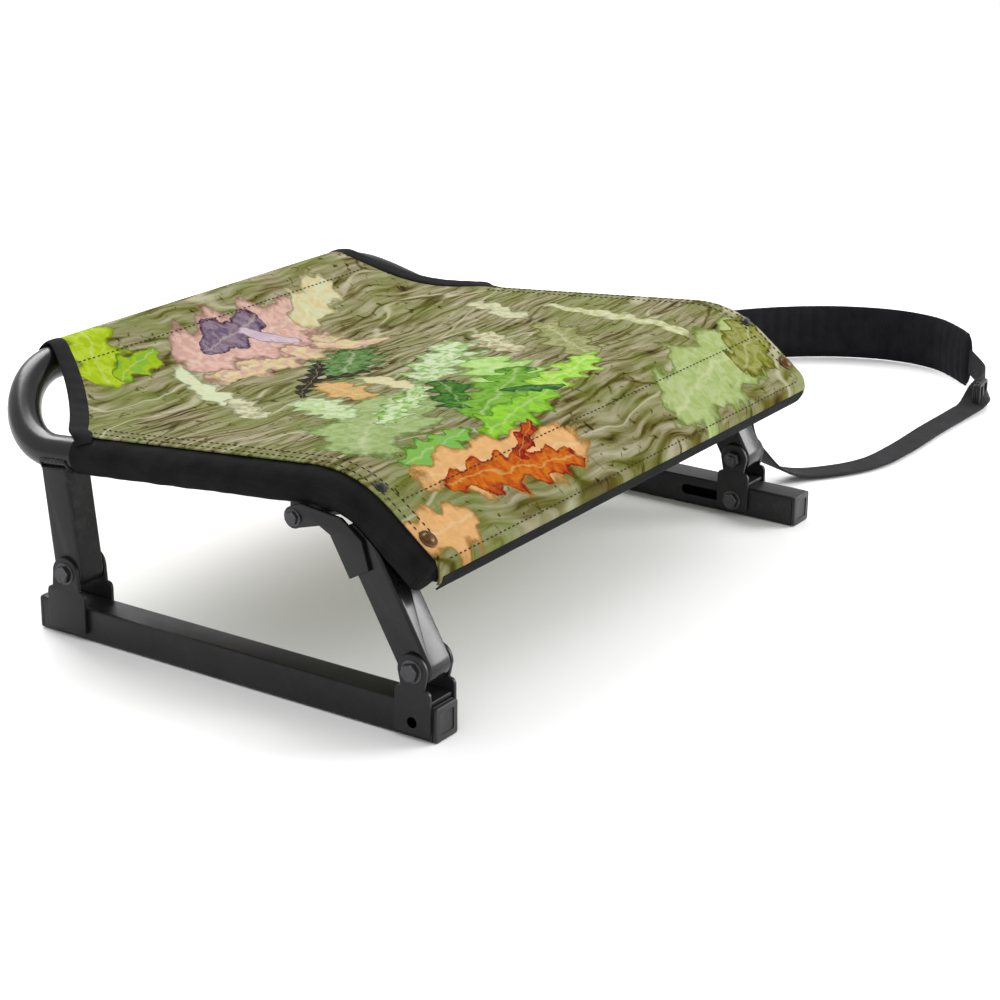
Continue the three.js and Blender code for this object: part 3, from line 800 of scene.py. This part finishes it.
pad = to_object("strap_pad_cover", *loft(pad_rings()), PAD_CLOTH, sharp=60)
place(pad, "seat", "padding", "strap_pad")
for where, height in (("top", 25.6), ("bottom", -25.4)):
    edge_line = pad_line[3:-3] + np.array([0, 0, height])
    piping = tube(f"strap_pad_{where}_piping", edge_line, 1.3, BLACK_CLOTH, 10, (0, 0, 1))
    place(piping, "seat", "padding")


# ---- the buckle
def ladder_buckle():
    """A ladder-lock adjuster standing on the strap, with two bars and a thumb tab."""
    windows = [box((-10.5, -10), (-3, 10), 1.2), box((1.5, -10), (10.5, 10), 1.2)]
    outline = [box((-14, -13), (14, 13), 3.5), *windows]
    body = plate("strap_buckle_body", outline, -4.2, -0.4, BUCKLE, 0.9, "xz")
    grip = [box((-13.5, -12), (-6, 12), 2.5)]
    tab = plate("strap_buckle_tab", grip, 0.2, 3.6, BUCKLE, 1.0, "xz")
    bar = tube("strap_buckle_bar", np.array([(-1, 1.5, -12.0), (-1, 1.5, 12.0)]), 1.9, BUCKLE, 18)
    whole = join("strap_adjuster", body, tab, bar)
    spot = Matrix.Translation([c * MM for c in STRAP_BUCKLE[0]])
    whole.data.transform(spot @ Matrix.Rotation(math.radians(8), 4, "Z"))
    return whole


buckle = place(ladder_buckle(), "seat", "black_plastic", "strap_buckle")

# ---- bent tube frame
left_line = side_path()
right_line = mirrored(left_line, -1)
rear_bar = np.linspace((REAR_BAR_HALF, *REAR_BAR), (-REAR_BAR_HALF, *REAR_BAR), 60)
whole_line = np.vstack([left_line, rear_bar[1:-1], right_line[::-1]])
hoop_line = resample(whole_line, 5.0)[1:-1]  # the sleeves' ends close the tube
hoop = tube("bent_frame_tube", hoop_line, TUBE_R, GLOSS, 40)
place(hoop, "seat", "gloss_black_steel", "left_side_tube", "right_side_tube", "rear_crossbar")
bar_line = np.linspace((-FRONT_BAR_HALF, *FRONT_BAR), (FRONT_BAR_HALF, *FRONT_BAR), 20)
front_bar = tube("front_bar", bar_line, TUBE_R, GLOSS, 36, (0, 1, 0))
place(front_bar, "seat", "gloss_black_steel", "front_crossbar")


# ---- rails
def rail(name):
    """A square tube with a slot in its inner wall, and a dished plastic cap at each end."""
    sign = SIGN[name]
    x = sign * HALF_SPAN
    section = lambda inset, *corner: box(
        (x - TUBE_R + inset, inset), (x + TUBE_R - inset, 2 * TUBE_R - inset), *corner
    )
    y = FRONT_PIVOT[name][0]
    ends = ((y + SLOT_LENGTH, -90, 90), (y, 90, 270))
    slot = np.vstack([circle((at, CLAMP_Z), SLOT_R, 14, *turn) for at, *turn in ends])
    cutter = plate("cutter", [slot], *sorted((x - sign * 30, x - sign * 9)), SATIN, 0.01)
    walls = [section(0, 2.6, 6), section(WALL, 1.4, 4)]
    body = plate(f"{name}_skid_rail", walls, RAIL_FRONT, RAIL_REAR, SATIN, 0.35, "xz")
    subtract(body, cutter)
    place(body, f"{name}_rail", "satin_black_steel", f"{name}_rail")
    for end, inner, way in (("front", RAIL_FRONT, -1), ("rear", RAIL_REAR, 1)):
        near, far = inner + way * 0.2, inner + way * 3.3
        face = section(0, 2.8, 6)
        cap = plate(f"{name}_{end}_cap_face", [face], *sorted((near, far)), CAP, 0.9, "xz")
        subtract(cap, plate("dish", [section(4.7, 2.0)], far - 0.8, far + 0.8, CAP, 0.01, "xz"))
        place(cap, f"{name}_rail", "black_plastic", f"{name}_rail_{end}_cap")


# ---- brackets
def bracket_outline(pivot, half):
    y, z = pivot
    ear = circle((y, z), 12, 20, 0, 180)
    corners = [(y - half, z - 12), (y - half, 5), (y + half, 5), (y + half, z - 12)]
    return np.vstack([ear, rounded(corners, [5, 3.2, 3.2, 5])])


def side_plate(name, sign, loops, facing, mat, low=PLATE_IN, high=PLATE_OUT, bevel=0.55):
    """A plate that stands along the seat, beside the middle of one side. facing is 1 outwards."""
    xs = sorted(sign * (HALF_SPAN + facing * reach) for reach in (low, high))
    return plate(name, loops, *xs, mat, bevel)


def brackets(name):
    sign = SIGN[name]
    front = FRONT_PIVOT[name]
    clamp_at = (front[0], CLAMP_Z)
    x = sign * HALF_SPAN
    for facing, where in ((1, "outer"), (-1, "inner")):
        holes = [circle(clamp_at, HOLE_R)] if where == "inner" else []
        for end, body, pivot, half, more in (
            ("rear", "rail", REAR_PIVOT, 18, []),
            ("front", "front_bracket", front, 14.5, holes),
        ):
            loops = [bracket_outline(pivot, half), circle(pivot, HOLE_R), *more]
            cad = f"{name}_{end}_bracket_{where}"
            piece = side_plate(f"{cad}_plate", sign, loops, facing, SATIN)
            place(piece, f"{name}_{body}", "satin_black_steel", cad)
    outline = box((x - PLATE_IN, front[0] - 13), (x + PLATE_IN, front[0] + 13), 0.8)
    bridge = plate(f"{name}_bracket_bridge_plate", [outline], 26.1, 29.0, SATIN, 0.5, "xy")
    cad = f"{name}_front_bracket_bridge"
    place(bridge, f"{name}_front_bracket", "satin_black_steel", cad)
    fixing(f"{name}_rear_pivot", sign, REAR_PIVOT, PIVOT_R, f"{name}_rail")
    fixing(f"{name}_front_pivot", sign, front, PIVOT_R, f"{name}_front_bracket")
    fixing(f"{name}_clamp", -sign, clamp_at, PIVOT_R, f"{name}_front_bracket", x, through=False)


def hexagon(name, r, base, top, middle, axis):
    """A hexagon head or nut with its corners chamfered."""
    t = top - base
    corner = [(r * 0.93, base), (r, base + 0.1 * t), (r, base + 0.78 * t), (r * 0.88, top)]
    return spin(name, [(0, base), *corner, (0, top)], middle, axis, ZINC, 6, 0.26)


def fixing(name, facing, pivot, r, body, x=None, through=True):
    """A hexagon bolt with a washer, its head towards facing. Where it goes through, a nut with
    the thread's end standing out of it."""
    out = (facing, 0, 0)
    middle = (facing * HALF_SPAN if x is None else x, *pivot)
    reach = PLATE_OUT
    turned = lambda part, profile, sides=32: spin(
        f"{name}_{part}", profile, middle, out, ZINC, sides
    )
    rim = [(r, reach), (2.1 * r, reach), (2.1 * r, reach + 0.5), (1.98 * r, reach + 0.7)]
    washer = turned("washer", [*rim, (0, reach + 0.7)])
    head = hexagon(f"{name}_head", 1.72 * r, reach + 0.6, reach + 0.3 + 1.15 * r, middle, out)
    shank = turned("shank", [(0, -reach), (r, -reach), (r, reach), (0, reach)], 24)
    pieces = [head, washer, shank]
    if through:
        ridges = []
        h = -reach - 5.7
        while h < -reach:
            ridges += [(r * 0.8, h), (r * 0.96, h + 0.35)]
            h += 0.7
        end = -reach - 5.9
        pieces.append(turned("thread", [(0, end), (r * 0.6, end), *ridges, (0, -reach)], 20))
        nut = hexagon(f"{name}_hexnut", 1.72 * r, -reach - 4.8, -reach - 0.5, middle, out)
        pieces.append(nut)
    cad = (f"{name}_{'bolt' if through else 'screw'}", f"{name}_nut")
    return place(join(f"{name}_fixing", *pieces), body, "plated_steel", *cad)


# ---- legs
REAR_LEAN, FRONT_LEAN = math.radians(6.6), math.radians(30)
REAR_LENGTH, FRONT_LENGTH = 80, 106


def leg_outline(pivot, lean, length):
    y, z = pivot
    foot = circle((0, 0), TUBE_R, 24, 180, 360)
    points = np.vstack([foot, [(TUBE_R, length), (-TUBE_R, length)]])
    c, s = math.cos(lean), math.sin(lean)
    ys, zs = points[:, 0] * c + points[:, 1] * s, points[:, 1] * c - points[:, 0] * s
    return np.stack([y + ys, z + zs], 1)


def rear_leg(name):
    sign = SIGN[name]
    loops = [leg_outline(REAR_PIVOT, REAR_LEAN, REAR_LENGTH), circle(REAR_PIVOT, 4.1)]
    leg = side_plate(f"{name}_rear_upright", sign, loops, 1, SATIN, -TUBE_R, TUBE_R, 2.4)
    place(leg, "seat", "satin_black_steel", f"{name}_rear_leg")
    # The weld where the leg meets the side tube: a square ring dropped onto the tube.
    top = REAR_PIVOT[0] + REAR_LENGTH * math.sin(REAR_LEAN)
    fall, half = 0.0963, 12.9
    ring = box((-half, -13.0), (half, 13.0), 3, 6)
    line = []
    for u, v in resample(np.vstack([ring, ring[:1]]), 1.2):
        drop = math.sqrt(half**2 - min(abs(u), half - 0.3) ** 2)
        tube_z = SIDE_REAR[1] - fall * (top + v - SIDE_REAR[0])
        line.append((sign * HALF_SPAN + u, top + v, tube_z - drop))
    ripple = lambda i, w: 1.5 + 0.35 * math.sin(i * 1.9)
    bead = tube(f"{name}_rear_weld", np.array(line), ripple, SATIN, 8, (0, 0, 1))
    place(bead, "seat", "satin_black_steel")


def front_leg(name):
    sign = SIGN[name]
    pivot, (y, z) = FRONT_PIVOT[name], TOP_PIVOT[name]
    # The foot's hole is wide enough for the play that the opened loop needs.
    loops = [leg_outline(pivot, FRONT_LEAN, FRONT_LENGTH), circle(pivot, 6.4)]
    leg = side_plate(f"{name}_front_strut", sign, loops, 1, GLOSS, -TUBE_R, TUBE_R, 2.4)
    subtract(leg, tube("cutter", mirrored(side_path(4.0), sign), 15.4, GLOSS, 24))
    place(leg, f"{name}_front_leg", "gloss_black_steel", f"{name}_front_leg")
    tail = [(-22, -1.5), (-31, -6), (-47, -34), (-63, -25), (-57, -5), (-40, 7.5)]
    shape = np.vstack([
        [(y - 6, z + 11), (y + 1, z + 8)], circle((y, z), 8, 18, 84, -124),
        [(y + a, z + b) for a, b in tail],
    ])
    for facing, where in ((1, "outer"), (-1, "inner")):
        loops = [shape, circle((y, z), 3.1)]
        arm = side_plate(f"{name}_arm_{where}_plate", sign, loops, facing, GLOSS)
        place(arm, f"{name}_front_leg", "gloss_black_steel", f"{name}_leg_arm_{where}")
    fixing(f"{name}_top_pivot", sign, (y, z), TOP_PIVOT_R, f"{name}_front_leg")
    ears = np.vstack([[(y - 8, z + 15)], circle((y, z), 8, 20, 180, 360), [(y + 8, z + 15)]])
    loops = [ears, circle((y, z), 3.2)]
    lug = side_plate(f"{name}_tube_lug", sign, loops, 1, SATIN, -9, 9, 0.8)
    place(lug, "seat", "satin_black_steel", f"{name}_pivot_lug")


for name in SIGN:
    rail(name)
    brackets(name)
    rear_leg(name)
    front_leg(name)


# ---- strap anchors
def anchor(name, y, z, cad):
    """A plate with a slot for the strap, riveted to the side tube."""
    corners = [(-16, -30), (16, -30), (16, -14), (9, 8), (-9, 8), (-16, -14)]
    outline = [(y + a, z + b) for a, b in corners]
    slot = box((y - 13, z - 26), (y + 13, z - 20), 1.5)
    loops = [rounded(outline, [3, 3, 4, 4, 4, 4]), slot]
    place(plate(name, loops, 273.5, 276, SATIN), "seat", "satin_black_steel", cad)
    head = [(0, 0), (4.6, 0), (4.4, 0.9), (3.0, 1.9), (0, 2.3)]
    rivet = spin(f"{name}_rivet", head, (276, y, z - 2), (1, 0, 0), ZINC)
    place(rivet, "seat", "plated_steel")


anchor("front_strap_plate", -143, 156, "strap_front_anchor")
anchor("rear_strap_plate", 120, 138, "strap_rear_anchor")


# ---- sling
def sling_profile():
    """The sling's underside seen from the side: the front wrap, the flat part and the rear wrap."""
    round_bar = lambda bar, a: (
        bar[0] + CLOTH_R * math.cos(math.radians(a)), bar[1] + CLOTH_R * math.sin(math.radians(a))
    )
    points = [round_bar(FRONT_BAR, a) for a in range(232, 131, -4)]
    flat = [
        (y - t[1] * CLOTH_R, z + t[0] * CLOTH_R)
        for (x, y, z), t in zip(left_line, tangents(left_line[:, 1:]))
        if SIDE_FRONT[0] + 26 < y < 84 and x > HALF_SPAN - 0.1
    ]
    points += flat[::2]
    sy, sz = points[-1]
    ly, lz = round_bar(REAR_BAR, 118)
    rise = bezier([(sy, sz), (sy + 44, sz - 4.2), (ly - 35.3, lz - 18.8), (ly, lz)], 24)
    points.extend(map(tuple, rise[1:]))
    points.extend(round_bar(REAR_BAR, a) for a in range(112, -42, -6))
    return resample(np.array(points), 3.0)


def scoop_half(y):
    """How far out the cloth reaches at y: its rear corners are scooped along a curve."""
    (x0, y0), (x1, y1), (x2, y2) = SCOOP
    if y <= y2:
        return CLOTH_HALF
    if y >= REAR_BAR[0] + 2:
        return x0 + 1
    a, b, c = y0 - 2 * y1 + y2, 2 * (y1 - y0), y0 - y
    root = math.sqrt(max(0.0, b * b - 4 * a * c))
    t = next(t for t in ((-b - root) / (2 * a), (-b + root) / (2 * a)) if 0 <= t <= 1)
    return x0 * (1 - t) ** 2 + 2 * x1 * t * (1 - t) + x2 * t * t


profile = sling_profile()
profile_t = tangents(profile)
profile_n = np.stack([-profile_t[:, 1], profile_t[:, 0]], 1)
top_of_bar = int(np.argmax(profile[:, 1] * (profile[:, 0] > REAR_BAR[0] - 6)))
halves = [
    SCOOP[0][0] + 0.5 if i >= top_of_bar else scoop_half(y) for i, (y, _) in enumerate(profile)
]


def cloth_point(i, u, lift=0.0):
    """A point of the sling: row i of its profile, at u from -1 to 1 across it."""
    y, z = profile[i]
    x = u * halves[i]
    ny, nz = profile_n[i]
    over = max(0.0, abs(x) - HALF_SPAN)
    drop = CLOTH_R - math.sqrt(max(0.0, CLOTH_R**2 - over**2)) if y < 110 else 0.0
    flat = 1 - min(1.0, abs(x) / 246) ** 2.2
    long = clamp((y + 178) / 70) * clamp((196 - y) / 70)
    sag = 5.5 * flat * ease(long)
    # Pull lines run out to the scooped corners and across behind the front bar.
    corner = math.exp(-(((abs(x) - 215) / 70) ** 2 + ((y - 130) / 60) ** 2))
    pull = 0.9 * corner * math.sin((abs(x) * 0.55 + y * 0.83) / 7.5)
    fine = 0.5 * noise.noise(Vector((x / 30, y / 60, 7.7)))
    waves = 0.8 * noise.noise(Vector((x / 70, y / 26, 3.1))) + fine
    calm = clamp((244 - abs(x)) / 40)
    h = lift - drop - sag + pull * calm + waves * flat**0.5 * min(1.0, long * 2)
    return (x, y + ny * h, z + nz * h)


def cloth_object(name, rows, us, lift, thick, mat):
    rings = [[cloth_point(i, u, lift) for u in us] for i in rows]
    obj = to_object(name, *loft(rings, closed=False, caps=False), mat, sharp=60)
    mod = obj.modifiers.new("cloth", "SOLIDIFY")
    mod.thickness, mod.offset = thick * MM, 0
    apply_modifiers(obj, sharp=60)
    return obj


def under_front_bar(y, z):
    return math.degrees(math.atan2(z - FRONT_BAR[1], y - FRONT_BAR[0])) % 360 >= 196


hem_end = next(i for i, p in enumerate(profile) if not under_front_bar(*p))
across = np.linspace(-1, 1, 176)
sling = cloth_object("sling_cloth", range(hem_end - 2, len(profile)), across, 0.5, 1.0, CAMO)
place(sling, "seat", "camouflage_cloth", "sling")
hem_across = np.linspace(-0.985, 0.985, 90)
hem = cloth_object("sling_front_hem", range(hem_end + 1), hem_across, 0.9, 1.1, BLACK_CLOTH)
place(hem, "seat", "black_cloth")


# ---- sleeves round the side tubes
def sleeve(name):
    """A gathered cloth sleeve, open at the rear and closed over the tube's front end."""
    sign = SIGN[name]
    stop = next(i for i, p in enumerate(left_line) if p[1] > 106)
    line = resample(mirrored(left_line, sign)[:stop], 2.5)[3:]

    def radius(i, w):
        fade = min(1.0, i / 4, (len(line) - 1 - i) / 4)
        around = (math.cos(w) * 2.0, math.sin(w) * 2.0 + sign)
        crease = noise.noise(Vector((i / 5.0, *around)))
        gather = 0.25 * math.sin(i * 0.9 + 2 * math.cos(w))
        slack = max(0.0, noise.noise(Vector((i / 16.0, 4.0, sign))))
        return 14.15 + 0.45 * crease * fade + gather * fade * slack

    outer, inner = (tube_rings(line, r, 48, (0, 0, 1)) for r in (radius, 12.9))
    verts, faces = loft(outer + inner[::-1] + [outer[0]], caps=False)
    obj = to_object(f"{name}_cloth_sleeve", verts, faces, BLACK_CLOTH, sharp=60)
    place(obj, "seat", "black_cloth", f"{name}_side_sleeve")
    lid = [(0, 1.6), (8, 1.4), (12.4, 0.6), (13.9, -1.4), (14.0, -5), (12.9, -5), (12.8, -1.6)]
    tube_end = hoop_line[-1 if sign < 0 else 0]
    outwards = -tangents(line)[0]
    end = spin(f"{name}_sleeve_end", [*lid, (0, -1.0)], tube_end, outwards, BLACK_CLOTH, 40)
    place(end, "seat", "black_cloth")


for name in SIGN:
    sleeve(name)


# ---- bindings and stitches
def binding(name):
    """Tape folded over the scooped edge, from under the rear bar to the side tube."""
    sign = SIGN[name]
    start = next(i for i, (y, _) in enumerate(profile) if y > SCOOP[2][1] - 6)
    ids = range(start, len(profile))
    edge = [cloth_point(i, sign * (1 - 0.5 / halves[i]), 0.5) for i in ids]
    level = [(0, *profile_n[i]) for i in ids]
    # The tape's end tucks in behind the side tube.
    _, y, z = edge[0]
    edge = np.array([(sign * 268, y - 5, z - 5.5), (sign * 264.5, y - 3, z - 1.6), *edge])
    level = np.array([(sign * 0.7, 0, 0.7)] * 2 + level)
    reach = distances(edge)
    at = np.linspace(0, reach[-1], int(reach[-1] / 2.5))
    line, normal = read_at(at, reach, edge), read_at(at, reach, level)
    for _ in range(6):
        for values in (line, normal):
            values[1:-1] = (values[:-2] + 2 * values[1:-1] + values[2:]) / 4
    rings = []
    for i, (p, t, n) in enumerate(zip(line, tangents(line), normal)):
        n = unit(n - t * (n @ t))
        side = np.cross(t, n)
        pucker = 1 + 0.1 * math.sin(i * 1.15)
        rings.append([p + side * u * 7.2 + n * v * 1.7 * pucker for u, v in pillow(24, 0.7, 0.85)])
    obj = to_object(f"{name}_scoop_binding", *loft(rings), BLACK_CLOTH, sharp=70)
    return place(obj, "seat", "black_cloth")


bindings = [binding(name) for name in SIGN]


def stitches(name, spots, length=3.4, gap=1.9):
    """A row of short raised threads. spots are rows of the sling and places across it."""
    points = np.array([cloth_point(i, u, 1.05) for i, u in spots])
    normals = np.array([(0, *profile_n[i]) for i, _ in spots])
    reach = distances(points)
    verts, faces = [], []
    s = 1.0
    while s + length < reach[-1]:
        a, b = read_at([s, s + length], reach, points)
        n = unit(read_at([s], reach, normals)[0])
        side = np.cross(unit(b - a), n)
        rings = []
        for q, r in ((0.0, 0.12), (0.2, 0.42), (0.5, 0.5), (0.8, 0.42), (1.0, 0.12)):
            p = a + (b - a) * q + n * (0.35 * math.sin(math.pi * q) - 0.1)
            angles = np.radians(range(0, 360, 60))
            rings.append([p + r * (side * math.cos(w) + n * math.sin(w)) for w in angles])
        more, quads = loft(rings)
        faces += [tuple(i + len(verts) for i in quad) for quad in quads]
        verts += more
        s += length + gap
    place(to_object(name, verts, faces, THREAD, sharp=60), "seat", "black_cloth")


for name, sign in SIGN.items():
    rows = [
        i for i, (y, _) in enumerate(profile)
        if FRONT_BAR[0] < y < SCOOP[2][1] - 4 and i < top_of_bar
    ]
    for row, inset in (("outer", 5.0), ("inner", 15.0)):
        spots = [(i, sign * (1 - inset / halves[i])) for i in rows]
        stitches(f"{name}_{row}_stitch_row", spots)
for name, i in (
    ("front", hem_end + 3),
    ("front_pocket", next(i for i, p in enumerate(profile) if p[0] > FRONT_BAR[0] + 24)),
    ("rear_pocket", max(i for i, p in enumerate(profile[:top_of_bar]) if p[0] < REAR_BAR[0] - 24)),
):
    stitches(f"{name}_stitch_row", [(i, u) for u in np.linspace(-0.95, 0.95, 120)])

grid = np.array([[cloth_point(i, u) for u in across] for i in range(len(profile))])


# ---- sling screws
def sling_screw(name, spot, y, size, mat):
    """A domed screw through the sling's edge. size is that of the head, against 11 mm across."""
    i = int(np.argmin(np.abs(profile[:, 0] - y) + (profile[:, 1] < 118) * 50))
    at = cloth_point(i, SIGN[name] * (HALF_SPAN - 5) / halves[i], 1.0)
    rim = [(5.6, 0), (5.6, 0.7), (5.0, 0.9), (4.0, 0.9), (3.7, 1.5), (2.9, 2.4), (1.5, 2.85)]
    dome = [(0, 0), *((size * r, h) for r, h in rim), (0, 2.9)]
    screw = spin(f"{name}_{spot}_snap_screw", dome, at, (0, *profile_n[i]), mat)
    place(screw, "seat", "satin_black_steel", f"{name}_{spot}_sling_screw")


for name in SIGN:
    sling_screw(name, "rear", -160, 0.85, SATIN)
    sling_screw(name, "front", FRONT_BAR[0], 1.25, SNAP)


# ---- floor and light
def paper():
    mat, tree, shader = node_material("floor_paper", 0.9)
    tone = noise_node(tree, object_coords(tree, 1.0), 1.2)
    feed(tree, shader.inputs["Base Color"], ramp(tree, tone, (0.3, 0.86), (0.7, 0.88)))
    return mat


corners = [(9000 * a, 9000 * b, -0.4) for a, b in ((-1, -1), (1, -1), (1, 1), (-1, 1))]
to_object("floor", corners, [(0, 1, 2, 3)], paper(), sharp=None)

world = bpy.data.worlds.new("studio")
world.use_nodes = True
background = world.node_tree.nodes["Background"]
background.inputs["Color"].default_value = (1, 1, 1, 1)
background.inputs["Strength"].default_value = 0.95
bpy.context.scene.world = world


def softbox(name, spot, aim, size, power):
    data = bpy.data.lights.new(name, "AREA")
    data.shape, data.size, data.energy = "SQUARE", size, power
    turn = (Vector(spot) - Vector(aim)).to_track_quat("Z", "Y")
    lamp = show(bpy.data.objects.new(name, data))
    lamp.matrix_world = Matrix.Translation(spot) @ turn.to_matrix().to_4x4()


softbox("key", (-1.2, -1.0, 2.4), (0, 0, 0.1), 1.6, 10)
softbox("strip", (1.7, -1.75, 0.85), (-0.1, -0.15, 0.1), 1.3, 60)
softbox("rim", (0.85, 1.65, 2.1), (-0.2, 0.15, 0.15), 1.7, 75)
bpy.context.scene.view_settings.view_transform = "Standard"
